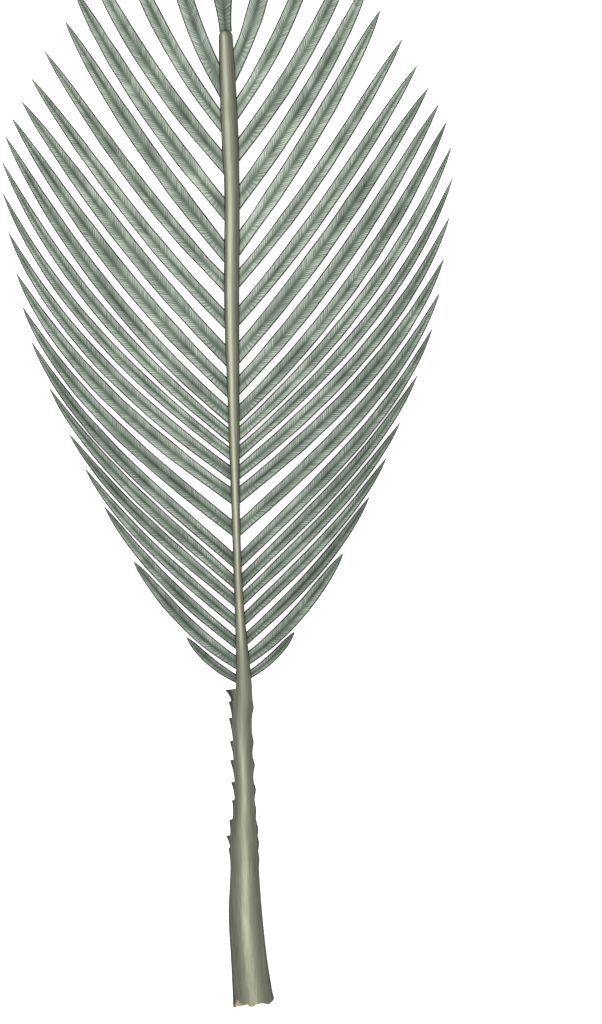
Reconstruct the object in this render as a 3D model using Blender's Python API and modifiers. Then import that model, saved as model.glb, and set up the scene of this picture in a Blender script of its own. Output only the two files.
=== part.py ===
"""A cut leaf of a yatay palm, lying face up: a toothed petiole, the rachis it runs on into, and
two rows of leaflets with one more at the tip.

Metres, with +Z up and +Y from the cut end to the tip. The leaf lies on z = 0, and the middle of
its length and width is at x = y = 0. It hangs on one empty at its cut end, so that every place
below is a distance from that end.
"""

import math
import random

import bmesh
import bpy
import numpy as np
from mathutils import Matrix, Vector

LEAF_LENGTH = 2.326
PETIOLE_LENGTH = 0.632
RACHIS_LENGTH = 1.314
ARCH_HEIGHT = 0.058
GAP = 0.0004

# Distance from the cut end, offset to the right, half width, half height
PETIOLE = np.array(
    [
        (0.000, 0.005, 0.0410, 0.0160),
        (0.080, -0.001, 0.0365, 0.0155),
        (0.180, -0.006, 0.0335, 0.0145),
        (0.270, -0.005, 0.0285, 0.0140),
        (0.340, -0.005, 0.0270, 0.0135),
        (0.390, -0.002, 0.0215, 0.0130),
        (0.520, -0.002, 0.0195, 0.0125),
        (0.632, -0.002, 0.0210, 0.0120),
    ]
)
RACHIS = np.array(
    [
        (0.632, 0.004, 0.0168, 0.0118),
        (0.700, 0.003, 0.0128, 0.0110),
        (0.750, 0.001, 0.0108, 0.0105),
        (1.200, 0.000, 0.0118, 0.0100),
        (1.400, 0.002, 0.0150, 0.0100),
        (1.640, 0.009, 0.0155, 0.0095),
        (1.740, 0.008, 0.0170, 0.0090),
        (1.946, 0.005, 0.0140, 0.0080),
    ]
)
STALK_STEP = 0.028
STALK_SIDES = 16
SQUARENESS = 2.6
RACHIS_ROUND_END = 0.014
ROUND_END_STEPS_DEG = (30, 55, 75)
SMOOTH_BELOW_DEG = 40

# Distance from the cut end to each tooth's point, and how far it stands out of the margin
TEETH = {
    "left": (
        (0.312, 0.003),
        (0.337, 0.008),
        (0.369, 0.006),
        (0.408, 0.005),
        (0.444, 0.007),
        (0.488, 0.007),
        (0.526, 0.006),
        (0.572, 0.006),
        (0.605, 0.005),
        (0.629, 0.011),
    ),
    "right": (
        (0.289, 0.002),
        (0.321, 0.003),
        (0.349, 0.003),
        (0.388, 0.002),
        (0.428, 0.004),
        (0.477, 0.004),
        (0.523, 0.003),
        (0.592, 0.003),
    ),
}
TOOTH_LENGTH = 0.026
TOOTH_THICKNESS = 0.009
TOOTH_LEAN = 0.011
TOOTH_POINT_SHARE = 0.15
TOOTH_ROOT_SHARE = 0.25

# Leaflet, counted from the petiole: where its middle leaves the leaf's axis, how far out and
# how far along its tip lies, its greatest width, and its angles to the side at both ends
PAIRS = 22
LEAFLETS = np.array(
    [
        (1, 0.644, 0.108, 0.736, 0.018, 30, 52),
        (2, 0.676, 0.210, 0.890, 0.028, 34, 54),
        (3, 0.715, 0.266, 1.002, 0.024, 40, 58),
        (5, 0.798, 0.332, 1.149, 0.024, 42, 57),
        (7, 0.878, 0.402, 1.336, 0.027, 43, 64),
        (9, 1.008, 0.429, 1.475, 0.031, 37, 64),
        (11, 1.091, 0.452, 1.638, 0.024, 39, 67),
        (13, 1.166, 0.443, 1.750, 0.030, 42, 63),
        (15, 1.282, 0.408, 1.818, 0.034, 47, 56),
        (17, 1.426, 0.359, 1.917, 0.029, 47, 58),
        (18, 1.489, 0.316, 1.976, 0.034, 52, 62),
        (20, 1.672, 0.277, 2.118, 0.034, 50, 66),
        (21, 1.751, 0.226, 2.192, 0.031, 53, 68),
        (22, 1.826, 0.140, 2.276, 0.036, 62, 73),
    ]
)
RIGHT_FURTHER_ALONG = 0.004
BASE_WIDTH_SHARE = 0.88
BASE_WIDENING = 0.3
BASE_STRETCH = 0.2
TAPER_POWER = 5
TAPER_BLUNTNESS = 0.6
LEAVING_HANDLE = 0.36
ARRIVING_HANDLE = 0.33
THINNEST = 0.01
TIP_THICKNESS_SHARE = 0.4
TIP_THINNING_FROM = 0.6
TIP_WIDTH_SHARE = 0.07
TIP_CLEARANCE = 0.0004
FOLD = 0.14
SINK = 0.001
RISE_DEG = 11
FALL_DEG = 7
DROOP = 0.16
UNEVENNESS_DEG = 2.5
LEAFLET_STEPS = 14
RUN_STEP = 0.01
TERMINAL_WIDTH = 0.046
TERMINAL_BASE_SHARE = 0.55
TERMINAL_TIP_OFFSET = -0.014
TERMINAL_RISE_DEG = -2

RACHIS_COLOUR = (0.35, 0.37, 0.22)
PETIOLE_COLOUR = (0.33, 0.34, 0.22)
YOUNG_LEAFLET_COLOUR = (0.27, 0.34, 0.25)
OLD_LEAFLET_COLOUR = (0.17, 0.23, 0.17)


def clear_scene():
    for thing in list(bpy.data.objects):
        bpy.data.objects.remove(thing)


def smooth_read(table, at):
    """The row of a table at a value of its first column, on a smooth curve through the rows."""
    knots = table[:, 0]
    slopes = np.gradient(table, knots, axis=0)
    first = min(max(int(np.searchsorted(knots, at)) - 1, 0), len(knots) - 2)
    span = knots[first + 1] - knots[first]
    t = (at - knots[first]) / span
    return (
        (2 * t**3 - 3 * t**2 + 1) * table[first]
        + (t**3 - 2 * t**2 + t) * span * slopes[first]
        + (3 * t**2 - 2 * t**3) * table[first + 1]
        + (t**3 - t**2) * span * slopes[first + 1]
    )


def ease(t):
    t = min(max(t, 0.0), 1.0)
    return t * t * (3 - 2 * t)


def arch(along):
    """Height of the stalk's middle above the ground."""
    resting = PETIOLE[0, 3]
    return resting + ARCH_HEIGHT * math.sin(math.pi * along / LEAF_LENGTH)


def make_material(name, colour, roughness):
    material = bpy.data.materials.new(name)
    material.use_nodes = True
    shader = material.node_tree.nodes["Principled BSDF"]
    shader.inputs["Base Color"].default_value = (*colour, 1)
    shader.inputs["Roughness"].default_value = roughness
    shader.inputs["Metallic"].default_value = 0
    return material


def add_object(name, mesh, collection, parent):
    thing = bpy.data.objects.new(name, mesh)
    collection.objects.link(thing)
    thing.parent = parent
    return thing


def mesh_from(name, points, faces):
    """A mesh of these points and faces, with its faces turned to agree."""
    mesh = bpy.data.meshes.new(name)
    mesh.from_pydata(points, [], faces)
    shape = bmesh.new()
    shape.from_mesh(mesh)
    bmesh.ops.recalc_face_normals(shape, faces=shape.faces)
    shape.to_mesh(mesh)
    shape.free()
    return mesh


def stalk_ring(sizes, along, shrink=1.0):
    """One cross section of the petiole or rachis, a rounded box that stands across +Y."""
    _, offset, half_width, half_height = smooth_read(sizes, along)
    ring = []
    for i in range(STALK_SIDES):
        turn = 2 * math.pi * i / STALK_SIDES
        across, up = math.cos(turn), math.sin(turn)
        x = math.copysign(abs(across) ** (2 / SQUARENESS), across)
        z = math.copysign(abs(up) ** (2 / SQUARENESS), up)
        ring.append(
            (
                offset + half_width * shrink * x,
                along,
                arch(along) + half_height * shrink * z,
            )
        )
    return ring


def stalk_mesh(name, sizes, start, end, round_end=0.0):
    """A piece of the stalk, lofted through its sections, with a round or a flat far end."""
    straight_end = end - round_end
    count = max(2, round((straight_end - start) / STALK_STEP))
    rings = [stalk_ring(sizes, y) for y in np.linspace(start, straight_end, count + 1)]
    for turn in ROUND_END_STEPS_DEG if round_end else ():
        slant = math.radians(turn)
        along = straight_end + round_end * math.sin(slant)
        rings.append(stalk_ring(sizes, along, math.cos(slant)))
    points = [point for ring in rings for point in ring]
    faces = [tuple(range(STALK_SIDES))]
    for i in range(len(rings) - 1):
        for j in range(STALK_SIDES):
            k = (j + 1) % STALK_SIDES
            low, high = i * STALK_SIDES, (i + 1) * STALK_SIDES
            faces.append((low + j, low + k, high + k, high + j))
    faces.append(tuple(len(points) - STALK_SIDES + j for j in range(STALK_SIDES)))
    mesh = mesh_from(name, points, faces)
    mesh.shade_smooth()
    mesh.set_sharp_from_angle(angle=math.radians(SMOOTH_BELOW_DEG))
    return mesh


def tooth_mesh(name, side, along, out):
    """A flat tooth that leans forward, rooted in the petiole's margin on one side."""
    sign = -1 if side == "left" else 1
    _, offset, half_width, _ = smooth_read(PETIOLE, along)
    root = half_width * TOOTH_ROOT_SHARE
    length = root + out
    shape = bmesh.new()
    bmesh.ops.create_cone(
        shape,
        cap_ends=True,
        segments=4,
        radius1=math.sqrt(0.5),
        radius2=math.sqrt(0.5) * TOOTH_POINT_SHARE,
        depth=1,
        matrix=Matrix.Translation((0, 0, 0.5)) @ Matrix.Rotation(math.pi / 4, 4, "Z"),
    )
    for corner in shape.verts:
        lengthwise, upward, outward = corner.co
        corner.co = (
            offset + sign * (half_width - root + length * outward),
            along + TOOTH_LEAN * (outward - 1) + TOOTH_LENGTH * lengthwise,
            arch(along) + TOOTH_THICKNESS * upward,
        )
    bmesh.ops.recalc_face_normals(shape, faces=shape.faces)
    mesh = bpy.data.meshes.new(name)
    shape.to_mesh(mesh)
    shape.free()
    return mesh


def add_petiole(collection, teeth, parent):
    mesh = stalk_mesh("petiole", PETIOLE, 0.0, PETIOLE_LENGTH)
    petiole = add_object("petiole", mesh, collection, parent)
    petiole.data.materials.append(make_material("petiole", PETIOLE_COLOUR, 0.6))
    for side, places in TEETH.items():
        for number, (along, out) in enumerate(places, 1):
            name = f"tooth_{side}_{number:02d}"
            tooth = add_object(name, tooth_mesh(name, side, along, out), teeth, parent)
            tooth.hide_render = True
            tooth.display_type = "WIRE"
    join = petiole.modifiers.new("teeth", "BOOLEAN")
    join.operation = "UNION"
    join.operand_type = "COLLECTION"
    join.collection = teeth
    join.solver = "EXACT"


def add_rachis(collection, parent):
    start = PETIOLE_LENGTH + GAP
    end = PETIOLE_LENGTH + RACHIS_LENGTH
    mesh = stalk_mesh("rachis", RACHIS, start, end, RACHIS_ROUND_END)
    rachis = add_object("rachis", mesh, collection, parent)
    rachis.data.materials.append(make_material("rachis", RACHIS_COLOUR, 0.55))


def flank(sign, along):
    """Where the rachis's flank is, with the gap that a leaflet keeps to it."""
    _, offset, half_width, _ = smooth_read(RACHIS, along)
    return offset + sign * (half_width + GAP)


def heading(sign, side_angle, lift):
    """A direction in space from its angle to the side, seen from above, and its lift."""
    level = math.cos(math.radians(lift))
    return Vector(
        (
            sign * math.cos(math.radians(side_angle)) * level,
            math.sin(math.radians(side_angle)) * level,
            math.sin(math.radians(lift)),
        )
    )


def bezier(start, leaving, arriving, end, t):
    return (
        (1 - t) ** 3 * start
        + 3 * (1 - t) ** 2 * t * leaving
        + 3 * (1 - t) * t**2 * arriving
        + t**3 * end
    )


def blade_width(t, width, base_share):
    """A leaflet's width from its base, at 0, to its tip, at 1."""
    base = base_share + (1 - base_share) * ease(t / BASE_WIDENING)
    taper = (1 - t**TAPER_POWER) ** TAPER_BLUNTNESS
    return width * max(base * taper, TIP_WIDTH_SHARE)


def blade_mesh(name, start, leave, arrive, end, width, base_share, base_line=None):
    """The upper side of a leaflet, folded along its middle like a low roof, from start to end.

    leave and arrive are the directions of its middle at both ends, and base_share is how much of
    its width its base has. base_line gives x at each y along the flank that the base lies against.
    """
    chord = (end - start).length
    leaving = start + leave * chord * LEAVING_HANDLE
    arriving = end - arrive * chord * ARRIVING_HANDLE
    points = []
    for i in range(LEAFLET_STEPS + 1):
        t = i / LEAFLET_STEPS
        middle = bezier(start, leaving, arriving, end, t)
        before = bezier(start, leaving, arriving, end, max(t - RUN_STEP, 0))
        after = bezier(start, leaving, arriving, end, min(t + RUN_STEP, 1))
        run = (after - before).normalized()
        square = Vector((0, 0, 1)).cross(run).normalized()
        across = square
        if base_line:
            flank_way = Vector((0, math.copysign(1, square.y), 0))
            across = flank_way.lerp(square, ease(t / BASE_STRETCH)).normalized()
        half = blade_width(t, width, base_share) / 2
        reach = half / across.dot(square)
        for share in (-1, 0, 1):
            point = middle + across * reach * share
            point.z -= abs(share) * half * 2 * FOLD
            if i == 0 and base_line:
                point.x = base_line(point.y)
            points.append(point)
    faces = []
    for i in range(LEAFLET_STEPS):
        for j in range(2):
            corner = 3 * i + j
            faces.append((corner, corner + 1, corner + 4, corner + 3))
    mesh = mesh_from(name, points, faces)
    if mesh.polygons[0].normal.z < 0:
        mesh.flip_normals()
    return mesh


def thicken(blade, length):
    """Gives a blade its thickness downwards, less of it towards the tip."""
    group = blade.vertex_groups.new(name="thickness")
    for i in range(LEAFLET_STEPS + 1):
        t = i / LEAFLET_STEPS
        thinning = ease((t - TIP_THINNING_FROM) / (1 - TIP_THINNING_FROM))
        share = 1 - (1 - TIP_THICKNESS_SHARE) * thinning
        group.add([3 * i, 3 * i + 1, 3 * i + 2], share, "REPLACE")
    solid = blade.modifiers.new("thickness", "SOLIDIFY")
    solid.thickness = length * THINNEST
    solid.offset = -1
    solid.use_even_offset = True
    solid.vertex_group = group.name


def resting_height(length, width):
    """How high a tip's upper side is where its folded underside just clears the ground."""
    thickness = length * THINNEST * TIP_THICKNESS_SHARE
    return thickness + FOLD * width * TIP_WIDTH_SHARE + TIP_CLEARANCE


def leaflet_colour(number):
    """Duller at the foot of the leaf and paler towards its upper middle."""
    share = ease(number / PAIRS)
    return tuple(
        old + (young - old) * share
        for old, young in zip(OLD_LEAFLET_COLOUR, YOUNG_LEAFLET_COLOUR)
    )


def add_leaflet(collection, parent, side, number, rng):
    sign = -1 if side == "left" else 1
    row = smooth_read(LEAFLETS, number)
    _, base, tip_out, tip_along, width, leave_angle, arrive_angle = row
    if side == "right":
        base += RIGHT_FURTHER_ALONG
        tip_along += RIGHT_FURTHER_ALONG
    base += abs(flank(sign, base)) * math.tan(math.radians(leave_angle))
    start = Vector((flank(sign, base), base, arch(base) - SINK))
    length = math.hypot(tip_out, tip_along - base)
    tip_height = max(start.z - DROOP * length, resting_height(length, width))
    end = Vector((sign * tip_out, tip_along, tip_height))
    uneven = rng.uniform(-UNEVENNESS_DEG, UNEVENNESS_DEG)
    leave = heading(sign, leave_angle, RISE_DEG + uneven)
    arrive = heading(sign, arrive_angle, -FALL_DEG)
    name = f"leaflet_{side}_{number:02d}"

    def base_line(y):
        return flank(sign, y)

    mesh = blade_mesh(name, start, leave, arrive, end, width, BASE_WIDTH_SHARE, base_line)
    blade = add_object(name, mesh, collection, parent)
    thicken(blade, length)
    blade.data.materials.append(make_material(name, leaflet_colour(number), 0.55))


def add_terminal_leaflet(collection, parent):
    rachis_end = PETIOLE_LENGTH + RACHIS_LENGTH
    _, offset, _, _ = smooth_read(RACHIS, rachis_end)
    start = Vector((offset, rachis_end + GAP, arch(rachis_end) - SINK))
    length = LEAF_LENGTH - start.y
    tip_height = resting_height(length, TERMINAL_WIDTH)
    end = Vector((TERMINAL_TIP_OFFSET, LEAF_LENGTH, tip_height))
    side_angle = math.degrees(math.atan2(length, end.x - start.x))
    leave = heading(1, side_angle, TERMINAL_RISE_DEG)
    arrive = heading(1, 90, -FALL_DEG)
    name = "leaflet_terminal"
    mesh = blade_mesh(name, start, leave, arrive, end, TERMINAL_WIDTH, TERMINAL_BASE_SHARE)
    blade = add_object(name, mesh, collection, parent)
    thicken(blade, length)
    blade.data.materials.append(make_material(name, leaflet_colour(PAIRS), 0.55))


def build():
    clear_scene()
    scene = bpy.context.scene
    leaf = bpy.data.collections.new("yatay palm leaf")
    teeth = bpy.data.collections.new("petiole teeth")
    scene.collection.children.link(leaf)
    scene.collection.children.link(teeth)
    cut_end = bpy.data.objects.new("cut_end", None)
    cut_end.location = (0, -LEAF_LENGTH / 2, 0)
    leaf.objects.link(cut_end)
    add_petiole(leaf, teeth, cut_end)
    add_rachis(leaf, cut_end)
    rng = random.Random(22)
    for side in ("left", "right"):
        for number in range(1, PAIRS + 1):
            add_leaflet(leaf, cut_end, side, number, rng)
    add_terminal_leaflet(leaf, cut_end)


build()
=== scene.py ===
"""The looks of a cut yatay palm leaf that lies face up on a pale floor.

Metres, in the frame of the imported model: +Y from the cut end to the tip and +Z up. As in the
solids, places along the leaf are distances from its cut end. Each piece repeats the course and the
sizes of the solid that it replaces, and adds what is too fine for a solid.
"""

import math
from dataclasses import dataclass

import bmesh
import bpy
import numpy as np
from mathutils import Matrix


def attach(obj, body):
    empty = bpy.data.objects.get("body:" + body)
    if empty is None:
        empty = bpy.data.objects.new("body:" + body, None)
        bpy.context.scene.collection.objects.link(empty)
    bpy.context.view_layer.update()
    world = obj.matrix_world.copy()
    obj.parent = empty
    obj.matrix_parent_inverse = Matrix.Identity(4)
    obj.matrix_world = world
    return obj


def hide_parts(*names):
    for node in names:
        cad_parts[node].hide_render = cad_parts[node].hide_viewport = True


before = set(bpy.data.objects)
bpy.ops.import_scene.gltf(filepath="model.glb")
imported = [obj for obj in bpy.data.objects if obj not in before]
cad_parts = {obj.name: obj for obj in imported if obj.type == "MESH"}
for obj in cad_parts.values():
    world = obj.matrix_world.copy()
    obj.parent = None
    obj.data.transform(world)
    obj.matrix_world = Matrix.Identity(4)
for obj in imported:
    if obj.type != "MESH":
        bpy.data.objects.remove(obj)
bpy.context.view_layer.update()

LEAF_LENGTH = 2.326
PETIOLE_LENGTH = 0.632
RACHIS_LENGTH = 1.314
RACHIS_END = PETIOLE_LENGTH + RACHIS_LENGTH
ARCH_HEIGHT = 0.058
CUT_END = np.array([0, -LEAF_LENGTH / 2, 0])

# Distance from the cut end, offset to the right, half width, half height
PETIOLE = np.array(
    [
        (0.000, 0.005, 0.0410, 0.0160),
        (0.080, -0.001, 0.0365, 0.0155),
        (0.180, -0.006, 0.0335, 0.0145),
        (0.270, -0.005, 0.0285, 0.0140),
        (0.340, -0.005, 0.0270, 0.0135),
        (0.390, -0.002, 0.0215, 0.0130),
        (0.520, -0.002, 0.0195, 0.0125),
        (0.632, -0.002, 0.0210, 0.0120),
    ]
)
RACHIS = np.array(
    [
        (0.632, 0.004, 0.0168, 0.0118),
        (0.700, 0.003, 0.0128, 0.0110),
        (0.750, 0.001, 0.0108, 0.0105),
        (1.200, 0.000, 0.0118, 0.0100),
        (1.400, 0.002, 0.0150, 0.0100),
        (1.640, 0.009, 0.0155, 0.0095),
        (1.740, 0.008, 0.0170, 0.0090),
        (1.946, 0.005, 0.0140, 0.0080),
    ]
)
SQUARENESS = 2.6
STALK_SIDES = 72
STALK_STEP = 0.004
RACHIS_ROUND_END = 0.014
ROUND_END_RINGS = 7
JOINING_LENGTH = 0.08
STALK_SEED = 7

# Distance from the cut end to each tooth's point, and how far it stands out of the margin
SHARP_TEETH_LEFT = (
    (0.312, 0.003),
    (0.337, 0.008),
    (0.369, 0.006),
    (0.408, 0.005),
    (0.444, 0.007),
    (0.488, 0.007),
    (0.526, 0.006),
    (0.572, 0.006),
    (0.605, 0.005),
    (0.629, 0.011),
)
BLUNT_TEETH_RIGHT = (
    (0.289, 0.002),
    (0.321, 0.003),
    (0.349, 0.003),
    (0.388, 0.002),
    (0.428, 0.004),
    (0.477, 0.004),
    (0.523, 0.003),
    (0.592, 0.003),
)
TOOTH_FLAT_TOP = 0.0016
TOOTH_SLOPE_POWER = 1.7
TOOTH_THINNESS = 7
FIRST_TOOTH_FOOT = 0.03
BLUNT_TOOTH_LENGTH = 0.012

# Share of the way across the cut end, and how far the torn edge reaches past the plain cut there
TORN_EDGE = np.array(
    [
        (0.00, 0.009),
        (0.04, -0.002),
        (0.11, -0.008),
        (0.24, 0.003),
        (0.32, 0.001),
        (0.41, 0.007),
        (0.60, 0.002),
        (0.74, 0.000),
        (0.90, 0.002),
        (1.00, -0.008),
    ]
)
TORN_LENGTH = 0.02
TORN_SHARE_BELOW = 0.5
END_RINGS = 9
END_HOLLOW = 0.0015
END_ROUGHNESS = 0.0016
END_TONES = (0.1, 0.9)

# The stalk's fibres: how many ridges lie round it, and how they wander and fade along it
FIBRE_RIDGES = (7, 13, 22, 31)
FIBRE_RELIEF = 0.000159
FIBRE_WANDER = 0.8
FIBRE_WANDER_STEP = 0.21
FIBRE_STRENGTH = 0.6
FIBRE_FADING = 0.4
FIBRE_FADING_STEP = 0.09

# The stalk's painted highlight, a light stripe where the rounded stalk faces the light, with painted
# shade darker to the flanks, as shares of its half width, and tones from 0, dark, to 1, light
HIGHLIGHT_MIDDLE = -0.1
HIGHLIGHT_WANDER = 0.16
HIGHLIGHT_WANDER_STEP = 0.3
HIGHLIGHT_WIDTH = 0.4
PAINTED_HIGHLIGHT_TONE = 0.56
HIGHLIGHT_UNEVENNESS = 0.10
HIGHLIGHT_UNEVENNESS_STEP = 0.16
PAINTED_SHADE_FLANK_TONE = 0.14
STALK_TONE_BELOW = 0.25
TOOTHED_PART = 0.4
TOOTHED_PART_EASING = 0.2
TOOTHED_PART_DARKER = 0.16
WAIST = 0.66
WAIST_EASING = 0.1
PAST_WAIST_LIGHTER = 0.14
# Where the painted shade line on the flanks and round the rachis's end starts, and how it eases in
FLANK_SHADE_START = 0.87
FLANK_SHADE_EASING = 0.08
END_SHADE_LENGTH = 0.006
END_SHADE_EASING = 0.005

# Leaflet, counted from the petiole: where its middle leaves the leaf's axis, how far out and
# how far along its tip lies, its greatest width, and its angles to the side at both ends
LEAFLETS = np.array(
    [
        (1, 0.644, 0.108, 0.736, 0.018, 30, 52),
        (2, 0.676, 0.210, 0.890, 0.028, 34, 54),
        (3, 0.715, 0.266, 1.002, 0.024, 40, 58),
        (5, 0.798, 0.332, 1.149, 0.024, 42, 57),
        (7, 0.878, 0.402, 1.336, 0.027, 43, 64),
        (9, 1.008, 0.429, 1.475, 0.031, 37, 64),
        (11, 1.091, 0.452, 1.638, 0.024, 39, 67),
        (13, 1.166, 0.443, 1.750, 0.030, 42, 63),
        (15, 1.282, 0.408, 1.818, 0.034, 47, 56),
        (17, 1.426, 0.359, 1.917, 0.029, 47, 58),
        (18, 1.489, 0.316, 1.976, 0.034, 52, 62),
        (20, 1.672, 0.277, 2.118, 0.034, 50, 66),
        (21, 1.751, 0.226, 2.192, 0.031, 53, 68),
        (22, 1.826, 0.140, 2.276, 0.036, 62, 73),
    ]
)
PAIRS = sum(node.startswith("leaflet_left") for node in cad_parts)
LEAFLET_SEED = 22
RIGHT_FURTHER_ALONG = 0.004
BASE_WIDTH_SHARE = 0.88
BASE_WIDENING = 0.3
TAPER_POWER = 4.5
TAPER_BLUNTNESS = 0.72
TIP_WIDTH_SHARE = 0.03
LEAVING_HANDLE = 0.36
ARRIVING_HANDLE = 0.33
LINE_POINTS = 500
FOLD = 0.14
SINK = 0.001
RISE_DEG = 11
FALL_DEG = 7
DROOP = 0.16
UNEVENNESS_DEG = 2.5
TERMINAL_WIDTH = 0.046
TERMINAL_BASE_SHARE = 0.55
TERMINAL_TIP_OFFSET = -0.014
TERMINAL_RISE_DEG = -2
TERMINAL_SHADE = -0.1

# A leaflet's body, and the veins that run out and towards the tip from its midrib
BLADE_THICKNESS = 0.0011
BASE_SWELLING = 0.0024
SWELLING_LENGTH = 0.016
TIP_CLEARANCE = 0.0009
ROOT_DEPTH = 0.004
VEIN_SPACING = 0.0056
VEIN_SPACING_JITTER = (0.75, 1.25)
VEIN_ANGLE_DEG = 40
VEIN_RELIEF = 0.00022
VEIN_STRENGTHS = (0.4, 1.3)
VEIN_START = 0.06
VEIN_END = 0.07
MIDRIB_RELIEF = 0.0004
MIDRIB_SHARE = 0.02
MIDRIB_VALLEY_SHARE = 0.12
WAVE_LENGTH = 0.17
WAVE_HEIGHT = 0.0011
OUTLINE_WAVER = 0.035
OUTLINE_WAVER_STEP = 0.045

# The columns of points on half a leaflet, from its midrib, as shares of the width inside the
# margin, and the margin's own, in widths of the margin
COLUMNS = (0.0, 0.07, 0.2, 0.4, 0.6, 0.8)
LAST_INNER_COLUMN = 1.3
MARGIN_FOOT = 1.25
MARGIN_START = 1.1
MARGIN_WIDTH = 0.0023
WIDEST_MARGIN_SHARE = 0.4
MARGIN_RELIEF = 0.0002
# How far back from the tip the dark rim, partly painted shade, reaches
DARK_TIP_LENGTH = 0.006

# Tones of a leaflet, from 0, dark, to 1, light, with painted shade along the midrib, painted light
# towards the margins, and painted light on the veins and painted shade in the furrows
BLADE_TONE = 0.52
MIDDLE_PAINTED_SHADE = 0.30
MIDDLE_SHADE_UNEVENNESS = 0.16
MIDDLE_SHADE_UNEVENNESS_STEP = 0.03
MIDDLE_SHADE_SHARE = 0.2
OUTER_PAINTED_LIGHT = 0.12
OUTER_LIGHT_START = 0.25
OUTER_LIGHT_EASING = 0.5
VEIN_PAINTED_SHADING = 0.22
VEIN_SHADING_SHARE_AT_ENDS = 0.35
VEIN_SHADING_EASING = 0.3
PATCH_TONE = 0.08
PATCH_STEP = 0.07
UPPER_PAIRS_LIGHTER = 0.16
UPPER_PAIRS_EASING = 1.4
LOWER_PAIRS_DARKER = 0.14
SHADE_SPREAD = 0.035

# Shared by the materials
STREAK_WEIGHT = 0.34
BLOTCH_WEIGHT = 0.30
ROUGHNESS_SPREAD = 0.2
BUMP_STRENGTH = 0.5
SPECULAR = 0.35

PICTURE_LEAN = math.atan(0.02902)
PICTURE_CENTRE = (0.128, 0.979)
PICTURE_HEIGHT = 2.048
LENS_MM = 200
SENSOR_MM = 36
LEAF_PLANE = 0.025


@dataclass
class Blade:
    """One leaflet: the curve of its middle, its width at most and at the base, how far its base
    row slants, its side (-1 left, 1 right) and how much lighter than the others it is."""

    name: str
    line: np.ndarray
    width: float
    base_share: float
    base_slant: float
    sign: int
    shade: float

    def distances(self):
        steps = np.linalg.norm(np.diff(self.line, axis=0), axis=1)
        return np.concatenate([[0], np.cumsum(steps)])

    def half_width(self, t):
        """Half the width from the base, at 0, to the tip, at 1."""
        base = self.base_share + (1 - self.base_share) * ease(t / BASE_WIDENING)
        taper = (1 - np.clip(t, 0, 1) ** TAPER_POWER) ** TAPER_BLUNTNESS
        return self.width * np.maximum(base * taper, TIP_WIDTH_SHARE) / 2


def smooth_read(table, at):
    """The rows of a table at values of its first column, on smooth curves through the rows."""
    knots = table[:, 0]
    slopes = np.gradient(table, knots, axis=0)
    at = np.atleast_1d(np.asarray(at, float))
    first = np.clip(np.searchsorted(knots, at) - 1, 0, len(knots) - 2)
    span = (knots[first + 1] - knots[first])[:, None]
    t = (at[:, None] - knots[first][:, None]) / span
    return (
        (2 * t**3 - 3 * t**2 + 1) * table[first]
        + (t**3 - 2 * t**2 + t) * span * slopes[first]
        + (3 * t**2 - 2 * t**3) * table[first + 1]
        + (t**3 - t**2) * span * slopes[first + 1]
    )


def ease(t):
    """From 0 to 1 with a soft start and end."""
    t = np.clip(t, 0, 1)
    return t * t * (3 - 2 * t)


def arch(along):
    """Height of the stalk's middle above the ground."""
    return PETIOLE[0, 3] + ARCH_HEIGHT * np.sin(math.pi * along / LEAF_LENGTH)


def drift(rng, at, step):
    """Smooth noise from -1 to 1 along the leaf, with a new value at each step."""
    spare = 4
    values = rng.uniform(-1, 1, int(LEAF_LENGTH / step) + spare)
    place = at / step + 1
    index = place.astype(int)
    t = ease(place - index)
    return values[index] * (1 - t) + values[index + 1] * t


# Meshes and materials


def add_piece(name, points, faces, values, material, sharp_deg):
    """A smooth-shaded piece with one number or vector per point for each named value."""
    mesh = bpy.data.meshes.new(name)
    mesh.from_pydata((points + CUT_END).tolist(), [], faces)
    for key, array in values.items():
        array = np.asarray(array, np.float32)
        kind, field = ("FLOAT", "value") if array.ndim == 1 else ("FLOAT_VECTOR", "vector")
        mesh.attributes.new(key, kind, "POINT").data.foreach_set(field, array.ravel())
    turn_outwards(mesh)
    mesh.shade_smooth()
    mesh.set_sharp_from_angle(angle=math.radians(sharp_deg))
    mesh.materials.append(material)
    piece = bpy.data.objects.new(name, mesh)
    bpy.context.scene.collection.objects.link(piece)
    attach(piece, "root")
    return piece


def turn_outwards(mesh):
    shape = bmesh.new()
    shape.from_mesh(mesh)
    bmesh.ops.recalc_face_normals(shape, faces=shape.faces)
    shape.to_mesh(mesh)
    shape.free()


def tube_quads(rows, sides):
    """Quads between rings of points that follow each other."""
    quads = []
    for low in range(0, (rows - 1) * sides, sides):
        for j in range(sides):
            k = (j + 1) % sides
            quads.append((low + j, low + k, low + sides + k, low + sides + j))
    return quads


def attribute(tree, name):
    node = tree.nodes.new("ShaderNodeAttribute")
    node.attribute_name = name
    return node


def stretched_noise(tree, scale, detail):
    """Noise over the grain, with its own scale across, along and through the piece."""
    stretch = tree.nodes.new("ShaderNodeVectorMath")
    stretch.operation = "MULTIPLY"
    stretch.inputs[1].default_value = scale
    tree.links.new(attribute(tree, "grain").outputs["Vector"], stretch.inputs[0])
    noise = tree.nodes.new("ShaderNodeTexNoise")
    noise.inputs["Scale"].default_value = 1
    noise.inputs["Detail"].default_value = detail
    tree.links.new(stretch.outputs[0], noise.inputs["Vector"])
    return noise.outputs["Fac"]


def centred(tree, noise, spread, average):
    """The noise, which is about 0.5 on average, with another spread and average."""
    node = tree.nodes.new("ShaderNodeMath")
    node.operation = "MULTIPLY_ADD"
    node.inputs[1].default_value = spread
    node.inputs[2].default_value = average - spread / 2
    tree.links.new(noise, node.inputs[0])
    return node.outputs[0]


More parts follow.
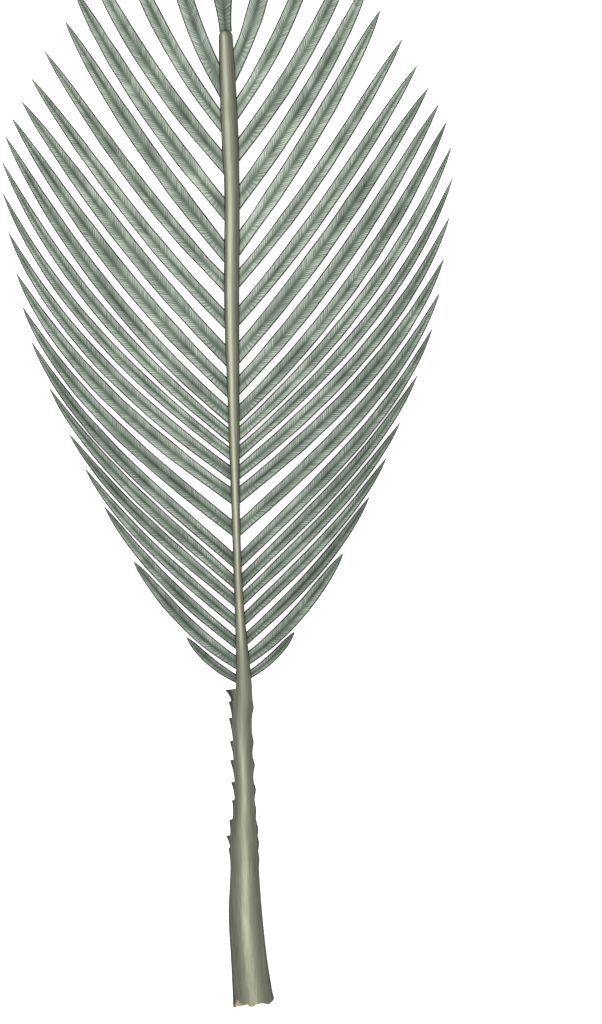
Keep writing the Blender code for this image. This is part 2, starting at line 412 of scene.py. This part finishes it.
def added(tree, first, second):
    node = tree.nodes.new("ShaderNodeMath")
    node.operation = "ADD"
    tree.links.new(first, node.inputs[0])
    tree.links.new(second, node.inputs[1])
    return node.outputs[0]


def colour_ramp(tree, tone, stops):
    ramp = tree.nodes.new("ShaderNodeValToRGB")
    elements = ramp.color_ramp.elements
    while len(elements) < len(stops):
        elements.new(0.5)
    for element, (place, colour) in zip(elements, stops):
        element.position = place
        element.color = (*colour, 1)
    tree.links.new(tone, ramp.inputs["Fac"])
    return ramp.outputs["Color"]


def grain_material(name, stops, dark_margin_and_shade_colour, streaks, blotches, roughness, bump):
    """A Principled BSDF coloured by the piece's tone, with streaks, blotches and a darker rim:
    painted shade on the stalk, and on the leaflets partly a darker margin, partly painted shade.
    """
    material = bpy.data.materials.new(name)
    material.use_nodes = True
    tree = material.node_tree
    shader = tree.nodes["Principled BSDF"]
    shader.inputs["Specular IOR Level"].default_value = SPECULAR
    fine = stretched_noise(tree, streaks, 3)
    broad = stretched_noise(tree, blotches, 2)
    tone = attribute(tree, "tone").outputs["Fac"]
    tone = added(tree, tone, centred(tree, fine, STREAK_WEIGHT, 0))
    tone = added(tree, tone, centred(tree, broad, BLOTCH_WEIGHT, 0))
    # The dark rim: painted shade on the stalk; on the leaflets partly a darker margin, partly painted
    # shade
    mix = tree.nodes.new("ShaderNodeMix")
    mix.data_type = "RGBA"
    mix.inputs["B"].default_value = (*dark_margin_and_shade_colour, 1)
    tree.links.new(attribute(tree, "dark_margin_and_shade").outputs["Fac"], mix.inputs["Factor"])
    tree.links.new(colour_ramp(tree, tone, stops), mix.inputs["A"])
    tree.links.new(mix.outputs["Result"], shader.inputs["Base Color"])
    dullness = centred(tree, broad, ROUGHNESS_SPREAD, roughness)
    tree.links.new(dullness, shader.inputs["Roughness"])
    relief = tree.nodes.new("ShaderNodeBump")
    relief.inputs["Strength"].default_value = BUMP_STRENGTH
    relief.inputs["Distance"].default_value = bump
    tree.links.new(fine, relief.inputs["Height"])
    tree.links.new(relief.outputs["Normal"], shader.inputs["Normal"])
    return material


def rind_material():
    return grain_material(
        "stalk_rind",
        [(0.0, (0.022, 0.024, 0.014)), (0.45, (0.098, 0.104, 0.066)), (1.0, (0.33, 0.34, 0.235))],
        # Near-black painted shade along the flanks and round the rachis's end
        dark_margin_and_shade_colour=(0.005, 0.006, 0.004),
        streaks=(420, 9, 420),
        blotches=(60, 6, 60),
        roughness=0.5,
        bump=0.0004,
    )


def cut_material():
    return grain_material(
        "cut_fibres",
        [(0.0, (0.07, 0.05, 0.03)), (0.5, (0.20, 0.155, 0.095)), (1.0, (0.42, 0.35, 0.24))],
        # Dark brown painted shade where the flanks' dark line reaches the torn end
        dark_margin_and_shade_colour=(0.08, 0.06, 0.03),
        streaks=(500, 60, 500),
        blotches=(120, 60, 120),
        roughness=0.8,
        bump=0.0006,
    )


def blade_material():
    return grain_material(
        "leaflet_blade",
        [(0.0, (0.012, 0.017, 0.012)), (0.45, (0.068, 0.090, 0.068)), (1.0, (0.30, 0.34, 0.28))],
        # Near-black rim of the leaflets, partly a darker margin and partly painted shade along the
        # outline
        dark_margin_and_shade_colour=(0.004, 0.005, 0.0035),
        streaks=(90, 420, 1),
        blotches=(40, 22, 1),
        roughness=0.52,
        bump=0.0003,
    )


# The petiole and the rachis


def sharp_teeth(along):
    """How far the saw on the left margin stands out: long slopes, each with a flat top."""
    out = np.zeros_like(along)
    foot = SHARP_TEETH_LEFT[0][0] - FIRST_TOOTH_FOOT
    for point, reach in SHARP_TEETH_LEFT:
        rise = np.clip((along - foot) / (point - foot), 0, 1) ** TOOTH_SLOPE_POWER
        fall = 1 - np.clip((along - point) / TOOTH_FLAT_TOP, 0, 1)
        out = np.maximum(out, np.where(along <= point, rise, fall) * reach)
        foot = point + TOOTH_FLAT_TOP
    return out


def blunt_teeth(along):
    """How far the rounded teeth on the right margin stand out."""
    out = np.zeros_like(along)
    for point, reach in BLUNT_TEETH_RIGHT:
        out = np.maximum(out, reach * np.exp(-(((along - point) / BLUNT_TOOTH_LENGTH) ** 2)))
    return out


def stalk_sizes(along):
    """Offset, half width and half height of the stalk, and how far the petiole's left margin
    stands out beside the narrower rachis."""
    petiole = smooth_read(PETIOLE, np.minimum(along, PETIOLE_LENGTH))
    rachis = smooth_read(RACHIS, np.maximum(along, PETIOLE_LENGTH))
    joining = ease((along - PETIOLE_LENGTH + JOINING_LENGTH) / JOINING_LENGTH)[:, None]
    _, offset, half, height = (petiole * (1 - joining) + rachis * joining).T
    last_tooth = SHARP_TEETH_LEFT[-1][0]
    wing_end = ease((along - last_tooth) / TOOTH_FLAT_TOP)
    wing = (offset - half - petiole[:, 1] + petiole[:, 2]) * (1 - wing_end)
    return offset, half, height, wing


def fibre_relief(turn, along, rng):
    relief = 0
    for ridges in FIBRE_RIDGES:
        phase = rng.uniform(0, 2 * math.pi)
        phase = phase + FIBRE_WANDER * drift(rng, along, FIBRE_WANDER_STEP)[:, None]
        strength = FIBRE_STRENGTH + FIBRE_FADING * drift(rng, along, FIBRE_FADING_STEP)[:, None]
        relief = relief + FIBRE_RELIEF * strength * np.cos(ridges * turn + phase)
    return relief


def stalk_rings(along, shrink, rng):
    """Rings of points round the stalk, and how far across and up each side is, from -1 to 1."""
    offset, half, height, wing = (size[:, None] for size in stalk_sizes(along))
    turn = np.linspace(0, 2 * math.pi, STALK_SIDES, endpoint=False)
    across = np.sign(np.cos(turn)) * np.abs(np.cos(turn)) ** (2 / SQUARENESS)
    up = np.sign(np.sin(turn)) * np.abs(np.sin(turn)) ** (2 / SQUARENESS)
    swell = shrink[:, None] * (1 + fibre_relief(turn, along, rng) / height)
    thin = np.abs(across) ** TOOTH_THINNESS
    left = (across < 0) * thin * (sharp_teeth(along)[:, None] + wing)
    right = (across > 0) * thin * blunt_teeth(along)[:, None]
    x = offset + half * across * swell - left + right
    y = np.repeat(along[:, None], STALK_SIDES, axis=1)
    z = np.maximum(arch(along)[:, None] + height * up * swell, 0)
    return np.stack([x, y, z], axis=2), across, up


def stalk_tone(across, up, along, rng):
    """A painted highlight, lightest on a band left of the middle where the rounded stalk faces the
    light, with painted shade darker to the flanks.
    """
    middle = HIGHLIGHT_MIDDLE + HIGHLIGHT_WANDER * drift(rng, along, HIGHLIGHT_WANDER_STEP)[:, None]
    painted_highlight = np.exp(-(((across - middle) / HIGHLIGHT_WIDTH) ** 2))
    light = PAINTED_HIGHLIGHT_TONE + HIGHLIGHT_UNEVENNESS * drift(rng, along, HIGHLIGHT_UNEVENNESS_STEP)
    light -= TOOTHED_PART_DARKER * ease((along - TOOTHED_PART) / TOOTHED_PART_EASING)
    light += PAST_WAIST_LIGHTER * ease((along - WAIST) / WAIST_EASING)
    return np.where(up > 0, PAINTED_SHADE_FLANK_TONE + light[:, None] * painted_highlight, STALK_TONE_BELOW)


def stalk_edge_shade(across, up, along):
    """Painted shade: a dark line along both flanks and round the rachis's end, where the rounded
    stalk turns away from the light.
    """
    lowest = -0.9
    flanks = ease((np.abs(across) - FLANK_SHADE_START) / FLANK_SHADE_EASING) * (up > lowest)
    end = ease((along - RACHIS_END + END_SHADE_LENGTH) / END_SHADE_EASING)
    return np.maximum(flanks[None, :], end[:, None])


def stalk_faces(rows):
    """Quads round the stalk and one face over each end: its start's is the last but one."""
    first_ring = tuple(range(STALK_SIDES))
    last_ring = tuple(range((rows - 1) * STALK_SIDES, rows * STALK_SIDES))
    return tube_quads(rows, STALK_SIDES) + [first_ring, last_ring]


def torn_end(edge_ring, rng):
    """Rings of points across the torn end, inwards from its edge, and the tones of its fibres."""
    centre = edge_ring.mean(axis=0)
    rings, tones = [], []
    for number in range(1, END_RINGS):
        inwards = number / END_RINGS
        ring = centre + (edge_ring - centre) * (1 - inwards)
        ring[:, 1] += END_HOLLOW * inwards + END_ROUGHNESS * rng.uniform(-1, 1, STALK_SIDES)
        rings.append(ring)
        tones.append(rng.uniform(*END_TONES, STALK_SIDES))
    return np.array(rings), np.array(tones)


def add_petiole(rind, cut):
    rng = np.random.default_rng(STALK_SEED)
    marks = [point for point, _ in SHARP_TEETH_LEFT + BLUNT_TEETH_RIGHT]
    places = np.arange(TORN_LENGTH, PETIOLE_LENGTH, STALK_STEP).tolist() + [0, PETIOLE_LENGTH]
    places += marks + [point + TOOTH_FLAT_TOP for point in marks]
    along = np.unique(np.round(places, 5))
    rings, across, up = stalk_rings(along, np.ones(len(along)), rng)
    upper_side = up > -0.3
    torn = smooth_read(TORN_EDGE, (across + 1) / 2)[:, 1]
    torn = torn * np.where(upper_side, 1, TORN_SHARE_BELOW)
    rings[:, :, 1] -= (1 - ease(along / TORN_LENGTH))[:, None] * torn
    tone = stalk_tone(across, up, along, rng)
    dark_margin_and_shade = stalk_edge_shade(across, up, along)
    end_rings, end_tones = torn_end(rings[0], rng)
    points = np.concatenate([end_rings[::-1], rings]).reshape(-1, 3)
    values = {
        "tone": np.concatenate([end_tones[::-1], tone]).ravel(),
        "dark_margin_and_shade": np.concatenate([np.zeros(end_tones.shape), dark_margin_and_shade]).ravel(),
        "grain": points,
    }
    faces = stalk_faces(len(end_rings) + len(rings))
    piece = add_piece("petiole_rind", points, faces, values, rind, sharp_deg=60)
    piece.data.materials.append(cut)
    polygons = piece.data.polygons
    for polygon in polygons[: len(end_rings) * STALK_SIDES] + polygons[-2:-1]:
        polygon.material_index = 1
    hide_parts("petiole")


def add_rachis(rind):
    rng = np.random.default_rng(STALK_SEED)
    round_start = RACHIS_END - RACHIS_ROUND_END
    rows = round((round_start - PETIOLE_LENGTH) / STALK_STEP)
    slant = np.linspace(0, math.pi / 2, ROUND_END_RINGS + 2)[1:-1]
    along = np.concatenate(
        [
            np.linspace(PETIOLE_LENGTH, round_start, rows),
            round_start + RACHIS_ROUND_END * np.sin(slant),
        ]
    )
    shrink = np.concatenate([np.ones(rows), np.cos(slant)])
    rings, across, up = stalk_rings(along, shrink, rng)
    points = rings.reshape(-1, 3)
    values = {
        "tone": stalk_tone(across, up, along, rng).ravel(),
        "dark_margin_and_shade": stalk_edge_shade(across, up, along).ravel(),
        "grain": points,
    }
    faces = stalk_faces(len(rings))
    piece = add_piece("rachis_rind", points, faces, values, rind, sharp_deg=60)
    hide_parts("rachis")


# The leaflets


def heading(sign, side_angle, lift):
    """A direction in space from its angle to the side, seen from above, and its lift."""
    side, lift = math.radians(side_angle), math.radians(lift)
    return np.array(
        [
            sign * math.cos(side) * math.cos(lift),
            math.sin(side) * math.cos(lift),
            math.sin(lift),
        ]
    )


def bezier(start, leave, arrive, end):
    """Points along a leaflet's middle."""
    chord = np.linalg.norm(end - start)
    leaving = start + leave * chord * LEAVING_HANDLE
    arriving = end - arrive * chord * ARRIVING_HANDLE
    t = np.linspace(0, 1, LINE_POINTS)[:, None]
    return (
        (1 - t) ** 3 * start
        + 3 * (1 - t) ** 2 * t * leaving
        + 3 * (1 - t) * t**2 * arriving
        + t**3 * end
    )


def follow(line, distances, at):
    """Places and directions along a line, which runs straight on past its ends."""
    inside = np.clip(at, 0, distances[-1])
    runs = np.gradient(line, distances, axis=0)
    place, run = (
        np.stack([np.interp(inside, distances, values[:, i]) for i in range(3)], axis=2)
        for values in (line, runs)
    )
    return place + run * (at - inside)[:, :, None], run


def vein_rows(length, rng):
    """Distances along the midrib at which a vein or a furrow leaves it, by turns."""
    count = int(3 * length / VEIN_SPACING)
    steps = VEIN_SPACING / 2 * rng.uniform(*VEIN_SPACING_JITTER, count)
    along = np.concatenate([[0], np.cumsum(steps)])
    along = along[along < length - VEIN_SPACING / 2]
    return np.concatenate([along, [length]])


def blade_columns(margin):
    """How far across each point of a row lies, from -1 to 1, by the margin's share of the row."""
    inner = np.array(COLUMNS)[None, :] * (1 - LAST_INNER_COLUMN * margin)
    rim = np.concatenate([1 - MARGIN_FOOT * margin, 1 - margin, np.ones_like(margin)], axis=1)
    half = np.concatenate([inner, rim], axis=1)
    return np.concatenate([-half[:, :0:-1], half], axis=1)


def blade_relief(share, inside, ridge, fade, on_margin, rng):
    """Height of the veins, midrib and margins, and of the long waves in both halves."""
    depth = np.abs(share)
    veined = np.clip(depth / MIDRIB_VALLEY_SHARE, 0, 1) * ~on_margin
    fine = VEIN_RELIEF * ridge * veined
    fine += MIDRIB_RELIEF * (depth < MIDRIB_SHARE)
    fine += MARGIN_RELIEF * on_margin
    phase = rng.uniform(0, 2 * math.pi, 2)
    wave = np.where(share > 0, phase[0], phase[1]) + 2 * math.pi * inside / WAVE_LENGTH
    return (fine + WAVE_HEIGHT * np.sin(wave) * depth**2) * fade


def blade_tone(along, depth, ridge, fade, rng):
    """Painted shade along the middle, painted light towards the margins, and on each vein a painted
    light line and in each furrow a painted shade line.
    """
    middle = MIDDLE_PAINTED_SHADE + MIDDLE_SHADE_UNEVENNESS * drift(rng, along, MIDDLE_SHADE_UNEVENNESS_STEP)[:, None]
    middle = middle * np.exp(-((depth / MIDDLE_SHADE_SHARE) ** 2))
    outer_light = OUTER_PAINTED_LIGHT * ease((depth - OUTER_LIGHT_START) / OUTER_LIGHT_EASING)
    strength = VEIN_SHADING_SHARE_AT_ENDS + (1 - VEIN_SHADING_SHARE_AT_ENDS) * fade
    vein_shading = VEIN_PAINTED_SHADING * ridge * strength * ease(depth / VEIN_SHADING_EASING)
    patches = PATCH_TONE * drift(rng, along, PATCH_STEP)[:, None]
    return BLADE_TONE - middle + outer_light + vein_shading + patches


def blade_top(blade, rng):
    """The upper side of a leaflet, in rows of points along each vein and furrow: the points, how far
    along the leaflet each lies, its tone with painted light and shade, its dark rim, partly a darker
    margin and partly painted shade, and its place in the grain."""
    distances = blade.distances()
    length = distances[-1]
    along = vein_rows(length, rng)
    waver = 1 + OUTLINE_WAVER * drift(rng, along, OUTLINE_WAVER_STEP)[:, None]
    half = blade.half_width(along / length)[:, None]
    margin = np.minimum(MARGIN_WIDTH / half, WIDEST_MARGIN_SHARE)
    share = blade_columns(margin)
    depth = np.abs(share)
    on_margin = depth > 1 - MARGIN_START * margin
    past_base = ease(along / VEIN_START)[:, None]
    fade = past_base * ease((length - along) / VEIN_END)[:, None]
    slant = share * half[0] * blade.base_slant * (1 - past_base)
    chevron = depth * half * fade / math.tan(math.radians(VEIN_ANGLE_DEG))
    place = along[:, None] + slant + chevron - ROOT_DEPTH * (1 - past_base)
    inside = np.clip(place, 0, length)
    middle, run = follow(blade.line, distances, place)
    across = np.stack([-run[:, :, 1], run[:, :, 0], np.zeros(run.shape[:2])], axis=2) * blade.sign
    across /= np.linalg.norm(across, axis=2)[:, :, None]
    reach = blade.half_width(inside / length) * waver
    points = middle + across * (share * reach)[:, :, None]
    ridge = np.where(np.arange(len(along)) % 2 == 0, 1, -1) * rng.uniform(*VEIN_STRENGTHS, len(along))
    ridge = ridge[:, None]
    points[:, :, 2] += blade_relief(share, inside, ridge, fade, on_margin, rng)
    points[:, :, 2] -= depth * reach * 2 * FOLD
    tone = blade_tone(along, depth, ridge, fade, rng) + blade.shade
    # The dark rim on the margins and the tip: partly a darker margin, partly painted shade along the
    # outline
    dark_margin_and_shade = np.where(on_margin | (along > length - DARK_TIP_LENGTH)[:, None], 1.0, 0.0)
    grain = [share * reach, np.repeat(along[:, None], share.shape[1], axis=1)]
    return points, inside, tone, dark_margin_and_shade, np.stack(grain, axis=2)


def both_sides(top, under):
    """Rows that run over the upper side and back over the under side."""
    return np.concatenate([top, under[:, ::-1]], axis=1)


def blade_faces(rows, columns):
    """Quads over both sides, both margins and both ends of a leaflet."""
    ring = 2 * columns
    faces = tube_quads(rows, ring)
    for start in (0, (rows - 1) * ring):
        for j in range(columns - 1):
            quad = (j, j + 1, ring - 2 - j, ring - 1 - j)
            faces.append(tuple(start + k for k in quad))
    return faces


def add_blade(blade, material, rng):
    top, inside, tone, dark_margin_and_shade, grain = blade_top(blade, rng)
    rows, columns = tone.shape
    under = top.copy()
    under[:, :, 2] -= BLADE_THICKNESS + BASE_SWELLING * np.exp(-inside / SWELLING_LENGTH)
    points = both_sides(top, under).reshape(-1, 3)
    points[:, 2] = np.maximum(points[:, 2], 0)
    layers = rng.uniform(0, 9) + np.zeros((rows, columns, 1))
    grain = np.concatenate([grain, layers], axis=2)
    tone_below = 0.25 + blade.shade / 2 + tone / 2
    values = {
        "tone": both_sides(tone, tone_below).ravel(),
        "dark_margin_and_shade": both_sides(dark_margin_and_shade, dark_margin_and_shade / 2).ravel(),
        "grain": both_sides(grain, grain + 5).reshape(-1, 3),
    }
    faces = blade_faces(rows, columns)
    piece = add_piece(f"{blade.name}_blade", points, faces, values, material, sharp_deg=70)
    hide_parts(blade.name)


def flank(sign, along):
    """Where the rachis's flank is."""
    _, offset, half_width, _ = smooth_read(RACHIS, along)[0]
    return offset + sign * half_width


def add_leaflet(side, number, material, rng):
    sign = -1 if side == "left" else 1
    uneven = rng.uniform(-UNEVENNESS_DEG, UNEVENNESS_DEG)
    _, base, tip_out, tip_along, width, leave_angle, arrive_angle = smooth_read(LEAFLETS, number)[0]
    if side == "right":
        base += RIGHT_FURTHER_ALONG
        tip_along += RIGHT_FURTHER_ALONG
    slant = math.tan(math.radians(leave_angle))
    base += abs(flank(sign, base)) * slant
    start = np.array([flank(sign, base), base, arch(base) - SINK])
    length = math.hypot(tip_out, tip_along - base)
    tip_height = max(start[2] - DROOP * length, BLADE_THICKNESS + TIP_CLEARANCE)
    end = np.array([sign * tip_out, tip_along, tip_height])
    leave = heading(sign, leave_angle, RISE_DEG + uneven)
    arrive = heading(sign, arrive_angle, -FALL_DEG)
    shade = UPPER_PAIRS_LIGHTER * ease(number / PAIRS * UPPER_PAIRS_EASING) - LOWER_PAIRS_DARKER
    shade += rng.uniform(-SHADE_SPREAD, SHADE_SPREAD)
    name = f"leaflet_{side}_{number:02d}"
    line = bezier(start, leave, arrive, end)
    add_blade(Blade(name, line, width, BASE_WIDTH_SHARE, slant, sign, shade), material, rng)


def add_terminal_leaflet(material, rng):
    offset = smooth_read(RACHIS, RACHIS_END)[0, 1]
    start = np.array([offset, RACHIS_END, arch(RACHIS_END) - SINK])
    end = np.array([TERMINAL_TIP_OFFSET, LEAF_LENGTH, BLADE_THICKNESS + TIP_CLEARANCE])
    side_angle = math.degrees(math.atan2(end[1] - start[1], end[0] - start[0]))
    leave = heading(1, side_angle, TERMINAL_RISE_DEG)
    arrive = heading(1, 90, -FALL_DEG)
    line = bezier(start, leave, arrive, end)
    blade = Blade(
        "leaflet_terminal", line, TERMINAL_WIDTH, TERMINAL_BASE_SHARE, 0, 1, TERMINAL_SHADE
    )
    add_blade(blade, material, rng)


def add_leaf():
    rind, cut, blade = rind_material(), cut_material(), blade_material()
    add_petiole(rind, cut)
    add_rachis(rind)
    rng = np.random.default_rng(LEAFLET_SEED)
    for side in ("left", "right"):
        for number in range(1, PAIRS + 1):
            add_leaflet(side, number, blade, rng)
    add_terminal_leaflet(blade, rng)


# The floor, the light and the camera


def add_floor():
    """White paper, lit from behind so that the gaps between the leaflets stay white."""
    bpy.ops.mesh.primitive_plane_add(size=60)
    floor = bpy.context.object
    floor.name = "floor"
    material = bpy.data.materials.new("floor_paper")
    material.use_nodes = True
    shader = material.node_tree.nodes["Principled BSDF"]
    shader.inputs["Base Color"].default_value = (0.86, 0.86, 0.86, 1)
    shader.inputs["Roughness"].default_value = 0.9
    shader.inputs["Specular IOR Level"].default_value = 0.1
    shader.inputs["Emission Color"].default_value = (1, 1, 1, 1)
    shader.inputs["Emission Strength"].default_value = 0.6
    floor.data.materials.append(material)


def add_area_light(name, location, size, power):
    """A round lamp that points at the middle of the leaf."""
    light = bpy.data.lights.new(name, "AREA")
    light.shape = "DISK"
    light.size = size
    light.energy = power
    lamp = bpy.data.objects.new(name, light)
    lamp.location = location
    lamp.rotation_euler = (-lamp.location).to_track_quat("-Z", "Y").to_euler()
    bpy.context.scene.collection.objects.link(lamp)


def add_lights():
    add_area_light("key", location=(-0.7, 0.5, 4.6), size=1.5, power=250)
    add_area_light("fill", location=(1.8, -1.6, 3.4), size=2.2, power=40)
    world = bpy.data.worlds.new("studio")
    world.use_nodes = True
    background = world.node_tree.nodes["Background"]
    background.inputs["Color"].default_value = (1, 1, 1, 1)
    background.inputs["Strength"].default_value = 1.1
    bpy.context.scene.world = world
    bpy.context.scene.view_settings.view_transform = "Standard"


def add_camera():
    """Straight above the middle of the picture, and turned so that the leaf leans to the left."""
    data = bpy.data.cameras.new("camera")
    data.lens = LENS_MM
    data.sensor_width = SENSOR_MM
    data.clip_end = 200
    camera = bpy.data.objects.new("camera", data)
    height = LEAF_PLANE + PICTURE_HEIGHT * LENS_MM / SENSOR_MM
    camera.location = (PICTURE_CENTRE[0], PICTURE_CENTRE[1] + CUT_END[1], height)
    camera.rotation_euler = (0, 0, -PICTURE_LEAN)
    bpy.context.scene.collection.objects.link(camera)
    bpy.context.scene.camera = camera


add_camera()
add_lights()
add_floor()
add_leaf()
